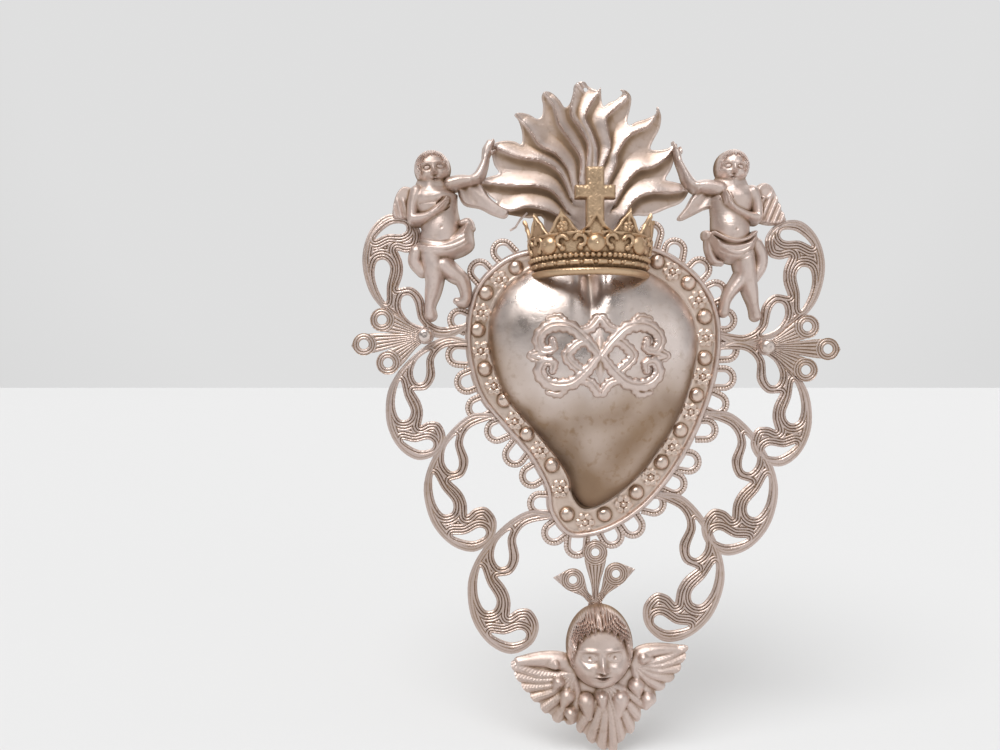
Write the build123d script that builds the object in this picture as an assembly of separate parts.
from build123d import *
import os
from math import atan2, cos, degrees, hypot, pi, radians, sin

# A votive flaming heart with a crown, two winged putti, a cherub's head and pierced scrolls, built
# up from thin stamped silver sheet. Everything is drawn as relief: x to the right, y up and z
# towards the viewer, with the nail hole of the flame at the origin, and stood upright at the end.
# Millimetres. The back layer lies behind z = 0 and the front layer in front of it.

# Sheet and fits
SHEET = 0.8
SEAT = 1.6
CLEARANCE = 0.05

# Nail hole of the flame
NAIL_HOLE_DIAMETER = 1.6

# Heart
RIM_WIDTH = 1.5
RIM_HEIGHT = 1.1
BOSS_HEIGHT = 15.0
BOSS_CENTRE = (1.0, -97.0)
BEAD_DIAMETER = 4.4
BEAD_HEIGHT = 1.9
FLOWER_DIAMETER = 5.6
FLOWER_HEIGHT = 0.7
BORDER_PAIRS = 17

# Scalloped edging
LOOP_DIAMETER = 7.6
LOOP_HOLE_DIAMETER = 3.8
LOOP_SIDES = 8
LOOP_HOLE_SIDES = 6
LOOP_COUNT = 32
LOOP_START = 0.07
EDGING_GAP = 35.0
EDGING_LAP = 1.0
EDGING_MARGIN = 0.7

# Scroll stampings
SCROLL_RIB_INSET = 1.3
SCROLL_RIB_WIDTH = 1.0
SCROLL_RIB_HEIGHT = 0.45

# Crown
CROWN_RADIUS = 20.0
CROWN_FLARE = 3.0
CROWN_FOOT = -69.0
CROWN_HEIGHT = 22.5
CROWN_WALL = 1.0
CROWN_LIP = 1.1
CROWN_X = 1.2
CROWN_FACETS = 18
CROWN_TINE_COUNT = 7
CROWN_TINE_HEIGHT = 7.0
CROWN_BEAD_DIAMETER = 6.0
CROWN_BEAD_LEVEL = 10.5
CROWN_ROW_LEVEL = 5.6
CROWN_ROW_WIDTH = 1.0
CROSS_HEIGHT = 24.5
CROSS_SPAN = 13.7
CROSS_STEM = 6.2
CROSS_ARM = 4.7
CROSS_THICKNESS = 2.2
CROSS_FOOT_LEVEL = 12.0
CROSS_ARM_LEVEL = 16.0

# Palmettes and their rivets
RIVET_DIAMETER = 1.8
RIVET_HEAD_DIAMETER = 5.4
RIVET_TAIL_DIAMETER = 3.4
RIVET_TAIL_HEIGHT = 0.7
RIVET_SIDES = 8
EYELET_DIAMETER = 3.4

# Fixing wire
WIRE_DIAMETER = 0.8

# Points laid along each span of a curved outline
SPAN_STEPS = 2

HEART_RIM = [
    (0, -59), (-9, -57.2), (-22.5, -58.4), (-32, -63), (-39.8, -72.3), (-42.7, -86.4),
    (-41.4, -100.1), (-37.1, -111.6), (-29, -121.5), (-20.3, -131.8), (-14.3, -142.9),
    (-12.8, -151.9), (-6.7, -159.8), (1.6, -160.2), (11.7, -156.6), (22.6, -148.5),
    (32.7, -135.9), (41.2, -119.7), (46.5, -103.7), (48.4, -89.1), (46.5, -77.1),
    (40.8, -67.6), (31.7, -60.2), (22.4, -56.5), (12, -56.5),
]
HEART_BOSS = [
    (0.8, -66.5), (-4.6, -62.4), (-12.8, -62.1), (-21.8, -66), (-29.7, -72.5), (-33.8, -80.9),
    (-34.7, -90), (-33.1, -99.2), (-28.5, -110.5), (-20.3, -120.1), (-10.8, -131.7),
    (-6, -139.5), (-4.8, -146), (-1.5, -150.3), (3, -150), (9.9, -146.3), (16.4, -140.8),
    (22.5, -134.2), (31.5, -120.6), (36.8, -107.3), (39.7, -93.3), (38.6, -82.9),
    (33.8, -74.3), (26.6, -68.2), (19.4, -64.2), (11.5, -61), (5.1, -62),
]
FLAME_EDGE = [
    (-18, -46.5), (-24, -45.5), (-31, -44), (-33.5, -41), (-35, -37.5), (-37.5, -33),
    (-34.5, -30.5), (-31.5, -28.5), (-33, -24), (-33.3, -19.5), (-29, -18.2), (-22.5, -19.5),
    (-23.5, -13.5), (-25.5, -9), (-20.5, -8.8), (-16, -11.5), (-15.3, -5), (-15.5, -1),
    (-11.5, -1.5), (-7.5, -7), (-5, -3), (-4.2, 1.6), (-1, 2.9), (2.5, 2.2), (5.7, 0.5),
    (6.3, -6.3), (11, -4), (12.8, -0.4), (15.8, -1.6), (16.2, -8), (15.5, -14), (19, -11),
    (24.5, -9.5), (26.3, -6.2), (26.8, -14.5), (23.5, -22), (28.5, -22), (32, -20.5),
    (32, -25), (30.5, -29.5), (28, -33), (32.5, -33), (36.8, -35.5), (35, -40), (28.5, -44.5),
    (20, -46.5),
]
FLAME_FOOT = [(16, -44), (14, -60.5), (0, -62.5), (-13, -60.5), (-15, -44)]
FLAME_RIDGES = [
    [(-14, -43), (-21, -41.5), (-31.5, -42)],
    [(-9, -41.5), (-13.5, -36), (-22, -34), (-36, -33.3)],
    [(-7.5, -36.5), (-13, -28), (-23, -24), (-32, -21.5)],
    [(-6, -33), (-9, -25.5), (-17.5, -19.5), (-24.6, -9.8)],
    [(-2.5, -30), (-3, -20), (-9.5, -11.5), (-14.8, -2)],
    [(4.5, -27), (3.5, -17), (0, -9), (4.6, -0.8)],
    [(6, -27), (10.5, -19), (9.5, -9.5), (14.6, -2.2)],
    [(8, -32), (15, -23.5), (22, -16), (26, -8)],
    [(12.5, -38), (15, -32), (22.5, -28.5), (31, -23)],
    [(15.5, -43.5), (19, -40), (26, -37.5), (35.5, -36.5)],
]

# One scroll stamping, drawn from its root on the heart's rim: the outer sweep with its hook, the
# middle edge, the inner edge back to the root, and the three teardrop piercings.
SCROLL_SWEEP = [
    (0, 1), (-6.5, 0.6), (-13, -4.3), (-18.5, -11.6), (-22.5, -20), (-23.5, -28.5),
    (-20.5, -38.8), (-13.8, -46.3), (-5.6, -48.8), (1, -44.6), (2.6, -38), (-0.8, -33.1),
    (-5, -33.3), (-7.9, -35.6),
]
SCROLL_MIDDLE = [(-7.9, -35.6), (-8.3, -31), (-10.3, -27), (-14, -23.4)]
SCROLL_INNER = [(-14, -23.4), (-9.3, -21.5), (-7.5, -16), (-9.5, -9.5), (-6.8, -4.3), (0, -1.6)]
SCROLL_HOLES = [
    [(-12, -7), (-12.4, -10.5), (-11, -16), (-11.5, -19.2), (-14, -19.8), (-16.2, -16.5),
     (-15.6, -11.2)],
    [(-20, -21), (-17, -26.2), (-13.2, -31), (-13.5, -34.6), (-16.5, -35.3), (-19.3, -31.5),
     (-20.5, -26)],
    [(-13.2, -42.8), (-8.5, -41.7), (-3.6, -38.5), (-1, -39.5), (-1.5, -43), (-5.5, -45),
     (-10, -44.4)],
]
# Each stamping was bent to its place by hand: root on the rim, turn in degrees, size and hand.
SCROLLS = {
    "scroll_upper_left": ((-44.4, -86.0), 207.0, 1.00, -1),
    "scroll_middle_left": ((-43.6, -90.6), -14.9, 0.93, 1),
    "scroll_lower_left": ((-34.6, -117.3), 0.0, 1.00, 1),
    "scroll_bottom_left": ((-13.6, -153.0), -8.5, 1.05, 1),
    "scroll_upper_right": ((49.2, -88.8), 152.5, 1.02, 1),
    "scroll_middle_right": ((49.6, -92.0), 19.2, 0.98, -1),
    "scroll_lower_right": ((45.0, -116.6), -0.8, 1.04, -1),
    "scroll_bottom_right": ((27.4, -145.8), -5.4, 1.07, -1),
}

# One palmette lying along +x from its rivet: a fan of three lobes, each with an eyelet.
PALMETTE_STEM = 6.2
PALMETTE_LOBE = 8.4
PALMETTE_STALK = 3.4
PALMETTE_STALK_END = 7.0
PALMETTE_MIDDLE_REACH = 22.8
PALMETTE_SIDE_REACH = 16.6
PALMETTE_SPREAD = 28.0
PALMETTES = {
    "palmette_left": ((-57.5, -88.5), 188.0),
    "palmette_right": ((64.5, -92.5), -2.0),
}
BOTTOM_PALMETTE_ROOT = (3.5, -185.5)
BOTTOM_PALMETTE_SIZE = 0.84

CHERUB_WING_LEFT = [
    (2, -199), (-5, -206), (-9, -203), (-14.5, -201.3), (-20.5, -201.5), (-25, -202.5),
    (-26.5, -206), (-25, -211), (-21.5, -215.5), (-17, -220.5), (-12.5, -223.5), (-8, -226.5),
    (-3.5, -227), (4, -222),
]
CHERUB_WING_RIGHT = [
    (6, -199), (13, -203), (17.5, -199.5), (20.5, -197.7), (26.5, -199), (32, -199.5),
    (36.5, -198), (36, -203), (33, -208), (29, -212.5), (25.8, -217), (23.5, -222),
    (19.5, -224), (8, -222),
]
CHERUB_TAIL = [
    (-4.5, -220), (-3.8, -228), (0.5, -233.5), (6, -237), (9, -238), (11.5, -233.5),
    (16, -231), (19.3, -224), (17, -216), (6, -212),
]
CHERUB_FACE = [
    (4.5, -183.5), (-2, -186), (-6.5, -191.5), (-7.6, -198), (-5.8, -205), (-2, -211),
    (5, -214), (11.5, -211.5), (15.2, -206), (17, -199), (16, -192), (11, -186),
]
COVERTS = [(-12, -204), (-10.5, -211), (-6.5, -216.5), (-4.5, -222), (0, -218.5),
           (12.5, -217), (17.5, -212), (21.5, -217.5), (20, -206), (21, -201.5)]
COVERT_DIAMETER = 4.6
COVERT_HEIGHT = 1.8
CHERUB_HEAD_HEIGHT = 11.0
CHERUB_WING_HEIGHT = 0.8


def between(before, start, end, after, t):
    """A point on the smooth curve from start to end that leans towards the points beside them."""
    point = []
    for a, b, c, d in zip(before, start, end, after):
        bend = (-a + 3 * b - 3 * c + d) * t ** 3 + (2 * a - 5 * b + 4 * c - d) * t ** 2
        point.append(0.5 * (bend + (c - a) * t + 2 * b))
    return tuple(point)


def ring(points, steps=SPAN_STEPS):
    """A closed smooth outline through the points."""
    count = len(points)
    return [
        between(points[i - 1], points[i], points[(i + 1) % count], points[(i + 2) % count], k / steps)
        for i in range(count) for k in range(steps)
    ]


def run(points, steps=SPAN_STEPS):
    """An open smooth line through the points, from the first to the last."""
    padded = [points[0]] + list(points) + [points[-1]]
    line = [
        between(padded[i], padded[i + 1], padded[i + 2], padded[i + 3], k / steps)
        for i in range(len(points) - 1) for k in range(steps)
    ]
    return line + [tuple(points[-1])]


def face(points, level=0.0):
    return Pos(0, 0, level) * Polygon(*points, align=None)


def plate(points, thickness, level=0.0):
    return extrude(face(points, level), thickness, dir=(0, 0, 1))


def shifted(line, distance, closed=True):
    """The line moved sideways, to its left, by a distance measured along its normals."""
    count = len(line)
    moved = []
    for i, (x, y) in enumerate(line):
        ahead = line[(i + 1) % count] if closed or i + 1 < count else line[i]
        behind = line[i - 1] if closed or i else line[i]
        dx, dy = ahead[0] - behind[0], ahead[1] - behind[1]
        length = hypot(dx, dy)
        moved.append((x - dy / length * distance, y + dx / length * distance))
    return moved


def placed(points, root, turn=0.0, size=1.0, hand=1):
    """The points mirrored by hand, sized, turned about the origin and carried to the root."""
    c, s = cos(radians(turn)) * size, sin(radians(turn)) * size
    return [(root[0] + hand * x * c - y * s, root[1] + hand * x * s + y * c) for x, y in points]


def strip(line, width, height, level):
    """A low bar along a line, narrowing to points at both ends."""
    last = len(line) - 1
    left, right = [], []
    for i, ((x, y), (u, v)) in enumerate(zip(line, shifted(line, 1.0, closed=False))):
        half = width / 2 * min(1.0, 2.6 * min(i, last - i) / last + 0.15)
        left.append((x + (u - x) * half, y + (v - y) * half))
        right.append((x - (u - x) * half, y - (v - y) * half))
    return plate(left + right[::-1], height, level)


def skinned(rings, flat_sides=True):
    """A closed solid over a stack of rings of points, with a cap on the first and last ring."""
    sides = []
    for low, high in zip(rings, rings[1:]):
        for i in range(len(low)):
            a, b, c, d = low[i - 1], low[i], high[i], high[i - 1]
            sides += [(a, b, c, d)] if flat_sides else [(a, b, c), (a, c, d)]
    faces = [Face(Wire.make_polygon(corners)) for corners in sides + [rings[0], rings[-1]]]
    return Solid(Shell(faces))


def dome(outline, centre, height, level, tiers=(1.0, 0.93, 0.80, 0.60, 0.34)):
    """A swelling form: the outline drawn in towards its centre, tier by tier, as it rises."""
    rings = []
    for share in tiers:
        rise = level + height * (1 - share ** 2) ** 0.6
        rings.append([(centre[0] + (x - centre[0]) * share, centre[1] + (y - centre[1]) * share, rise)
                      for x, y in outline])
    return skinned(rings)


def round_outline(centre, diameter, sides, turn=0.0):
    angles = [turn + 2 * pi * i / sides for i in range(sides)]
    return [(centre[0] + diameter / 2 * cos(a), centre[1] + diameter / 2 * sin(a)) for a in angles]


def rounded_end(end, before):
    """A smaller section just past the end of a limb, so that it finishes round."""
    x, y, half, height = end
    dx, dy = x - before[0], y - before[1]
    share = 0.7 * half / hypot(dx, dy)
    return (x + dx * share, y + dy * share, 0.55 * half, 0.55 * height)


def limb(stations, level=0.0, arch=4):
    """A rounded limb: half-round sections across a smooth path of (x, y, half width, height)."""
    path = run(stations)
    path = [rounded_end(path[0], path[1])] + path + [rounded_end(path[-1], path[-2])]
    rings = []
    for i, (x, y, half, height) in enumerate(path):
        ahead, behind = path[min(i + 1, len(path) - 1)], path[max(i - 1, 0)]
        heading = atan2(ahead[1] - behind[1], ahead[0] - behind[0])
        ring_points = []
        for k in range(arch + 1):
            aside = half * cos(pi * k / arch)
            ring_points.append((x - sin(heading) * aside, y + cos(heading) * aside,
                                level + height * sin(pi * k / arch)))
        rings.append(ring_points)
    return skinned(rings, flat_sides=False)


def joined(pieces):
    body = pieces[0]
    for piece in pieces[1:]:
        body = body + piece
    return body


def cut(body, *tools):
    for tool in tools:
        body = body - tool
    return body


def whole(body):
    """The main solid of a body, without the sliver that a cut can leave beside it."""
    return max(body.solids(), key=lambda solid: solid.volume)


def heart_window():
    return shifted(ring(HEART_BOSS), SEAT)


def travel(line):
    """The running length to each point of a closed line, with the whole length last."""
    marks = [0.0]
    for (x, y), (u, v) in zip(line, line[1:] + line[:1]):
        marks.append(marks[-1] + hypot(u - x, v - y))
    return marks


def spaced(line, count, start):
    """Points at even running lengths round a closed line, each with its outward direction."""
    marks = travel(line)
    places = []
    for k in range(count):
        target = (start + k / count) % 1.0 * marks[-1]
        i = max(j for j in range(len(line)) if marks[j] <= target)
        x, y = line[i]
        u, v = line[(i + 1) % len(line)]
        share = (target - marks[i]) / (marks[i + 1] - marks[i])
        length = hypot(u - x, v - y)
        places.append((x + (u - x) * share, y + (v - y) * share, (v - y) / length, -(u - x) / length))
    return places


def border_line():
    """The middle of the border, halfway between the rim and the boss, met along even angles."""
    rim, boss = shifted(ring(HEART_RIM), RIM_WIDTH), ring(HEART_BOSS)
    line = []
    for x, y in boss:
        nearest = min(rim, key=lambda p: hypot(p[0] - x, p[1] - y))
        line.append(((x + nearest[0]) / 2, (y + nearest[1]) / 2))
    return line


def border_bead(x, y):
    return dome(round_outline((x, y), BEAD_DIAMETER, 8), (x, y), BEAD_HEIGHT, SHEET, tiers=(1.0, 0.82, 0.4))


def border_flower(x, y, turn):
    """Six petals, as a low star with six blunt points."""
    outline = []
    for i in range(12):
        reach = FLOWER_DIAMETER / 2 * (1.0 if i % 2 else 0.58)
        outline.append((x + reach * cos(turn + pi * i / 6), y + reach * sin(turn + pi * i / 6)))
    return plate(outline, FLOWER_HEIGHT, SHEET)


def heart_border():
    body = plate(ring(HEART_RIM), SHEET) - plate(heart_window(), SHEET)
    marks = spaced(border_line(), 2 * BORDER_PAIRS, 0.985)
    ornaments = []
    for i, (x, y, outward_x, outward_y) in enumerate(marks):
        if hypot(x - CROWN_X, y + 58) < CROWN_RADIUS + BEAD_DIAMETER:
            continue
        if i % 2:
            ornaments.append(border_bead(x, y))
        else:
            ornaments.append(border_flower(x, y, atan2(outward_y, outward_x)))
    return joined([body] + ornaments)


def rim_wire():
    outer = ring(HEART_RIM)
    return plate(outer, RIM_HEIGHT, SHEET) - plate(shifted(outer, RIM_WIDTH), RIM_HEIGHT, SHEET)


def scallop_edging():
    outer = ring(HEART_RIM)
    band = plate(shifted(outer, -EDGING_MARGIN), SHEET, -SHEET)
    band = band - plate(shifted(outer, EDGING_LAP), SHEET, -SHEET)
    reach = LOOP_DIAMETER * 0.42
    gap = [(CROWN_X + side * EDGING_GAP / 2, y) for side, y in ((-1, CROWN_FOOT), (1, CROWN_FOOT), (1, 0), (-1, 0))]
    loops, holes = [], [plate(gap, SHEET, -SHEET)]
    for x, y, outward_x, outward_y in spaced(outer, LOOP_COUNT, LOOP_START):
        if abs(x - CROWN_X) < EDGING_GAP / 2 + EDGING_LAP and y > CROWN_FOOT:
            continue
        centre = (x + outward_x * reach, y + outward_y * reach)
        turn = atan2(outward_y, outward_x)
        loops.append(plate(round_outline(centre, LOOP_DIAMETER, LOOP_SIDES, turn), SHEET, -SHEET))
        holes.append(plate(round_outline(centre, LOOP_HOLE_DIAMETER, LOOP_HOLE_SIDES, turn), SHEET, -SHEET))
    return cut(joined([band] + loops), *holes)


def boss_form(inset=0.0, drop=0.0, tiers=(1.0, 0.93, 0.80, 0.60, 0.34)):
    return dome(shifted(ring(HEART_BOSS), inset), BOSS_CENTRE, BOSS_HEIGHT - drop, SHEET, tiers)


def heart_boss():
    return boss_form() - boss_form(SHEET, SHEET, tiers=(1.0, 0.88, 0.64, 0.34))


def boss_ornament():
    """Four plain leaf scrolls, mirrored both ways round a lozenge, bent to lie on the dome."""
    leaf = ring([(1.5, 0.5), (6, 6.5), (13.5, 10), (21, 7.5), (22, 2), (17, 1.5), (17.8, 5), (13, 5.8), (7.5, 2)])
    lozenge = [(0, 9), (3, 0), (0, -9), (-3, 0)]
    middle = (BOSS_CENTRE[0] + 2.4, BOSS_CENTRE[1] + 1.0)
    depth = BOSS_HEIGHT + 4 * SHEET
    pieces = [plate(placed(lozenge, middle), depth, SHEET)]
    for turn in (0, 180):
        for hand in (1, -1):
            pieces.append(plate(placed(leaf, middle, turn, hand=hand), depth, SHEET))
    return (joined(pieces) & boss_form(-SHEET, -SHEET)) - boss_form()


def flame_plate():
    body = plate(ring(FLAME_EDGE), SHEET, -SHEET) + plate(FLAME_FOOT, SHEET, -SHEET)
    hole = Pos(0, 0, -SHEET / 2) * Cylinder(NAIL_HOLE_DIAMETER / 2, 2 * SHEET)
    ridges = [strip(run(line), 1.6, SHEET, 0.0) for line in FLAME_RIDGES]
    return joined([body] + ridges) - hole


def scroll_blank(root, turn, size, hand):
    outline = run(SCROLL_SWEEP) + run(SCROLL_MIDDLE)[1:] + run(SCROLL_INNER)[1:]
    return plate(placed(outline, root, turn, size, hand), SHEET + SCROLL_RIB_HEIGHT)


def scroll(root, turn, size, hand):
    sweep = run(SCROLL_SWEEP)
    outline = sweep + run(SCROLL_MIDDLE)[1:] + run(SCROLL_INNER)[1:]
    body = plate(placed(outline, root, turn, size, hand), SHEET)
    for hole in SCROLL_HOLES:
        body = body - plate(placed(ring(hole), root, turn, size, hand), SHEET)
    rib = placed(shifted(sweep, SCROLL_RIB_INSET, closed=False), root, turn, size, hand)
    return body + strip(rib[1:-2], SCROLL_RIB_WIDTH, SCROLL_RIB_HEIGHT, SHEET)


def crown_wall(profile):
    """A half-round wall: a profile of (outward, level) corners carried round the crown's axis."""
    rings = []
    for k in range(CROWN_FACETS + 1):
        angle = pi * k / CROWN_FACETS
        rings.append([(CROWN_X - (crown_radius_at(level) + outward) * cos(angle), CROWN_FOOT + level,
                       (crown_radius_at(level) + outward) * sin(angle)) for outward, level in profile])
    return skinned(rings)


def crown_sector(angle, points):
    """A tool that cuts the crown's wall outwards at an angle, drawn in the wall's own face."""
    direction = Plane(origin=(CROWN_X, CROWN_FOOT, 0), x_dir=(cos(angle), 0, -sin(angle)),
                      z_dir=(sin(angle), 0, cos(angle)))
    return extrude(direction * Polygon(*points, align=None), 2 * CROWN_RADIUS, dir=direction.z_dir)


def crown_band():
    row, lip, wall = CROWN_ROW_LEVEL, CROWN_LIP, CROWN_WALL
    profile = [(-wall, 0), (lip, 0), (lip * 1.3, lip), (lip, 2 * lip), (0, 2 * lip), (0, row),
               (CROWN_ROW_WIDTH, row), (CROWN_ROW_WIDTH, row + CROWN_ROW_WIDTH), (0, row + CROWN_ROW_WIDTH),
               (0, CROWN_HEIGHT), (-wall, CROWN_HEIGHT)]
    band = crown_wall(profile)
    pitch = pi / (CROWN_TINE_COUNT - 1)
    half = crown_radius_at(CROWN_HEIGHT) * sin(pitch / 2)
    root, tip = CROWN_HEIGHT - CROWN_TINE_HEIGHT, CROWN_HEIGHT + 1
    shoulder = (root + CROWN_HEIGHT) / 2
    notch = [(1.6 - half, tip), (-0.5 * half, shoulder), (0, root), (0.5 * half, shoulder), (half - 1.6, tip)]
    return cut(band, *[crown_sector(-pi / 2 + pitch * (i + 0.5), notch) for i in range(CROWN_TINE_COUNT - 1)])


def crown_radius_at(level):
    return CROWN_RADIUS + CROWN_FLARE * level / CROWN_HEIGHT


def crown_beads():
    """Beads bedded on the crown's wall, one in front and one to each side."""
    beads = []
    for angle in (-pi / 4, 0.0, pi / 4):
        bed = crown_radius_at(CROWN_BEAD_LEVEL - CROWN_BEAD_DIAMETER / 2) * cos(pi / 2 / CROWN_FACETS)
        bead = dome(round_outline((0, 0), CROWN_BEAD_DIAMETER, 10), (0, 0), CROWN_BEAD_DIAMETER * 0.65, 0,
                    tiers=(1.0, 0.8, 0.4))
        turn = Plane(origin=(CROWN_X + bed * sin(angle), CROWN_FOOT + CROWN_BEAD_LEVEL, bed * cos(angle)),
                     x_dir=(cos(angle), 0, -sin(angle)), z_dir=(sin(angle), 0, cos(angle)))
        beads.append(turn * bead)
    return beads


def crown_cross():
    """A thick upright cross, soldered inside the front tine and rising behind it."""
    inner = (crown_radius_at(CROSS_FOOT_LEVEL) - CROWN_WALL) * cos(pi / 2 / CROWN_FACETS)
    stem, arm, span, rise, level = CROSS_STEM / 2, CROSS_ARM / 2, CROSS_SPAN / 2, CROSS_HEIGHT, CROSS_ARM_LEVEL
    outline = [(stem, 0), (stem, level - arm), (span, level - arm), (span, level + arm),
               (stem, level + arm), (stem, rise), (-stem, rise), (-stem, level + arm),
               (-span, level + arm), (-span, level - arm), (-stem, level - arm), (-stem, 0)]
    place = Pos(CROWN_X, CROWN_FOOT + CROSS_FOOT_LEVEL, inner - CROSS_THICKNESS - 6 * CLEARANCE)
    return place * plate(outline, CROSS_THICKNESS)


def palmette(root, turn, level, size=1.0):
    """A fan of three stalks from the rivet, each ending in a round lobe with an eyelet."""
    stem = placed(round_outline((0, 0), PALMETTE_STEM, 12), root, turn, size)
    body, eyelets = plate(stem, SHEET, level), []
    for side in (-1, 0, 1):
        angle = radians(side * PALMETTE_SPREAD)
        reach = PALMETTE_SIDE_REACH if side else PALMETTE_MIDDLE_REACH
        end = (reach * cos(angle), reach * sin(angle))
        half, wide = PALMETTE_STALK / 2, PALMETTE_STALK_END / 2
        stalk = placed([(0, -half), (reach, -wide), (reach, wide), (0, half)], (0, 0), degrees(angle))
        lobe = round_outline(end, PALMETTE_LOBE, 12, angle)
        body = body + plate(placed(stalk, root, turn, size), SHEET, level)
        body = body + plate(placed(lobe, root, turn, size), SHEET, level)
        eyelet = round_outline(end, EYELET_DIAMETER, 8)
        eyelets.append(plate(placed(eyelet, root, turn, size), SHEET, level))
    return cut(body, *eyelets)


def rivet_hole(root):
    """The hole for a rivet's shank, through every layer."""
    return plate(round_outline(root, RIVET_DIAMETER + 2 * CLEARANCE, RIVET_SIDES), 4 * SHEET, -SHEET)


def rivet(root):
    """A ball-headed rivet through the palmette and the scroll, closed over at the back."""
    shank = plate(round_outline(root, RIVET_DIAMETER, RIVET_SIDES), 2 * SHEET)
    head = dome(round_outline(root, RIVET_HEAD_DIAMETER, 10), root, RIVET_HEAD_DIAMETER * 0.7, 2 * SHEET,
                tiers=(1.0, 0.9, 0.65, 0.3))
    tail = plate(round_outline(root, RIVET_TAIL_DIAMETER, RIVET_SIDES), RIVET_TAIL_HEIGHT, -RIVET_TAIL_HEIGHT)
    return shank + head + tail


def putto_left():
    head = dome(ring([(-60.8, -30), (-59.5, -24.8), (-54.5, -22.2), (-49.2, -25), (-48.2, -31),
                      (-51.5, -35), (-55.5, -35.6)]), (-54.5, -29), 8.5, 0)
    torso = limb([(-53.5, -37, 5.5, 5.5), (-53.5, -41, 7.8, 7.5), (-52.5, -47, 7.0, 7.5),
                  (-51, -53, 7.4, 7.5)])
    cloth = limb([(-60, -57, 2.5, 4), (-54, -58, 4.5, 8.6), (-47.5, -56.5, 6, 8.6), (-42, -54, 4.5, 5)])
    knot = dome(ring([(-43.5, -46.5), (-40.2, -46.6), (-39.6, -50), (-43.5, -51.5)]), (-42, -49), 4, 0)
    raised = limb([(-46.5, -36, 3.2, 6), (-39, -33.6, 2.6, 5), (-36, -26, 1.9, 4)])
    hand = limb([(-35, -23.5, 2, 3), (-33.6, -19.5, 1.3, 2.4)])
    upper = limb([(-59.4, -39.2, 2.6, 6), (-60.1, -43.2, 2.4, 6.3), (-60, -46.4, 2.2, 6.8)])
    resting = limb([(-59.2, -46.9, 2.2, 7), (-54.8, -46, 2, 8.6), (-50.6, -43.7, 1.7, 9)])
    sash = plate([(-46, -36), (-38, -33.5), (-31, -42), (-28, -44), (-29, -46.5), (-34, -45.4),
                  (-44, -42)], 2.2)
    wing = dome(ring([(-60, -37.5), (-64, -34.5), (-68, -37.5), (-68.6, -41.5), (-65, -43.6),
                      (-60, -44)]), (-64, -40), 3, 0)
    leg = limb([(-54.6, -61, 4.2, 7.5), (-54, -69, 3.4, 6.5), (-54.4, -77, 2.2, 5), (-55, -81, 2.4, 4.4)])
    rear = limb([(-60.5, -60, 2.4, 4.5), (-60, -65, 2.2, 4)])
    bent = limb([(-50, -64, 3.6, 6.5), (-45.3, -68.3, 2.9, 5.5), (-43, -74.5, 2.1, 4.2), (-42.6, -77, 1.6, 3.6)])
    return joined([torso, head, cloth, knot, raised, hand, upper, resting, sash, wing, leg, rear, bent])


def putto_right():
    head = dome(ring([(45.3, -28.5), (47.5, -23.5), (51.8, -22), (56.5, -24.5), (57.6, -29),
                      (54.5, -34), (50.5, -35.5), (46.5, -33.5)]), (51.5, -28.5), 8.5, 0)
    torso = limb([(51.5, -37, 5.5, 5.5), (51.8, -41, 8.2, 7.5), (51, -47.5, 7.4, 7.5),
                  (50.5, -53, 7.2, 8)])
    cloth = limb([(44.5, -57.5, 3, 5), (48, -59, 5, 8.4), (53, -58.5, 5.2, 8.6), (57, -56, 3.4, 5)])
    raised = limb([(45.5, -36, 3.2, 6), (38, -35.6, 2.6, 5), (33.5, -27.5, 1.8, 4)])
    hand = limb([(32.8, -25.5, 2.1, 3), (30.8, -20.8, 0.9, 2)])
    upper = limb([(57.8, -38.5, 2.6, 6), (59.4, -43, 2.5, 6.4), (60, -47.5, 2.4, 7)])
    resting = limb([(59.5, -48, 2.3, 7), (54, -46.2, 2.1, 8.8), (48.5, -43.8, 1.7, 9)])
    sash = plate([(46, -37), (37, -36.5), (32.2, -46), (34.8, -47), (39, -45), (45, -43)], 2.2)
    wing = dome(ring([(60, -36.5), (63.5, -33.6), (67.5, -36.5), (70, -42), (71.5, -47.5),
                      (66, -49.8), (60, -47)]), (65, -42), 3, 0)
    knot = limb([(42.6, -52.2, 2, 3.4), (42.6, -58, 1.5, 3), (44.5, -62, 1.2, 2.6)])
    rear = limb([(60.2, -56.5, 3, 5), (62, -62.5, 2.4, 4.5), (60, -67, 2.2, 4.5)])
    leg = limb([(55.8, -61.5, 3.8, 7.5), (56.8, -69, 3.2, 6.5), (58, -77, 2.2, 5), (59.3, -82, 2.2, 4.4)])
    crossed = limb([(55, -68.5, 2.8, 5), (50.5, -76.5, 1.9, 4.2), (49.2, -79.5, 1.7, 3.6)])
    return joined([torso, head, cloth, raised, hand, upper, resting, sash, wing, knot, rear, leg, crossed])


def cherub():
    sheet = joined([plate(ring(shape), SHEET + CHERUB_WING_HEIGHT, -SHEET)
                    for shape in (CHERUB_WING_LEFT, CHERUB_WING_RIGHT, CHERUB_TAIL)])
    face_form = dome(ring(CHERUB_FACE), (4.8, -199), CHERUB_HEAD_HEIGHT + SHEET, -SHEET)
    coverts = [dome(round_outline(place, COVERT_DIAMETER, 7), place, COVERT_HEIGHT, CHERUB_WING_HEIGHT,
                    tiers=(1.0, 0.78, 0.35)) for place in COVERTS]
    return joined([sheet, face_form] + coverts)


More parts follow.
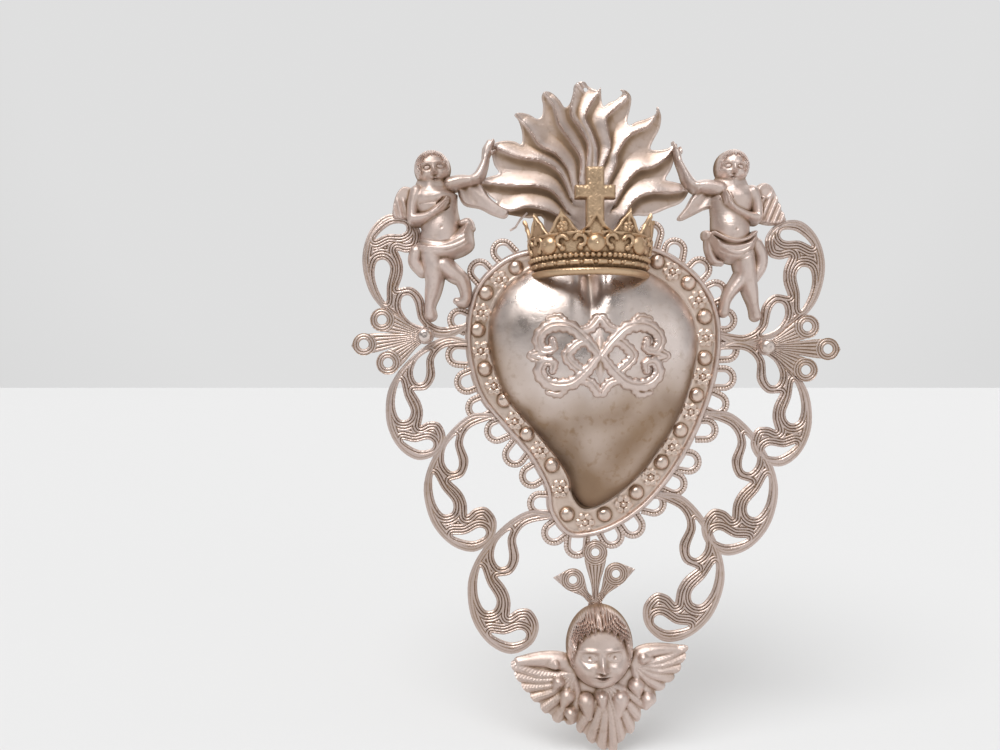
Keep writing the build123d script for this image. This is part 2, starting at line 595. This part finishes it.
def fixing_wire():
    """The cut end of the wire that ties the flame to the crown, sticking out at the left."""
    lift = WIRE_DIAMETER / 2 + CLEARANCE
    route = Polyline((-21, -44.4, lift), (-23.6, -46.8, lift), (-25.2, -49.6, 2 * lift), (-27.2, -50.8, 2 * lift))
    start = Plane(origin=route @ 0, z_dir=route % 0)
    return sweep(start * RegularPolygon(WIRE_DIAMETER / 2, 6), path=route, transition=Transition.RIGHT)


def build():
    rim_block = plate(shifted(ring(HEART_RIM), -CLEARANCE), SHEET + RIM_HEIGHT)
    pieces = {
        "heart_border": heart_border(),
        "rim_wire": rim_wire(),
        "heart_boss": heart_boss(),
        "boss_ornament": boss_ornament(),
        "scallop_edging": scallop_edging(),
        "flame_plate": cut(flame_plate(), rim_block),
        "fixing_wire": fixing_wire(),
    }
    for name, (root, turn) in PALMETTES.items():
        pieces[name] = cut(palmette(root, turn, SHEET), rivet_hole(root))
        pieces[name.replace("palmette", "rivet")] = rivet(root)
    pieces["palmette_bottom"] = cut(palmette(BOTTOM_PALMETTE_ROOT, 90.0, 0.0, BOTTOM_PALMETTE_SIZE), rim_block)
    fans = [pieces[name] for name in PALMETTES] + [rivet_hole(root) for root, turn in PALMETTES.values()]
    blanks = []
    for name, place in SCROLLS.items():
        pieces[name] = cut(scroll(*place), rim_block, *fans, *blanks)
        blanks.append(scroll_blank(*place))
    pieces["crown_band"] = cut(crown_band(), boss_form(-CLEARANCE, -CLEARANCE), rim_block)
    pieces["crown_cross"] = crown_cross()
    pieces["crown_beads"] = Compound([bead - pieces["crown_band"] for bead in crown_beads()])
    flame, upper_left, upper_right = (pieces[n] for n in ("flame_plate", "scroll_upper_left", "scroll_upper_right"))
    pieces["putto_left"] = whole(cut(putto_left(), rim_block, flame, upper_left))
    pieces["putto_right"] = whole(cut(putto_right(), rim_block, flame, upper_right))
    pieces["cherub"] = cut(cherub(), pieces["palmette_bottom"], *blanks)
    return pieces


os.makedirs("parts", exist_ok=True)
for name, shape in build().items():
    export_step(Plane.XZ * shape, f"parts/{name}.step")
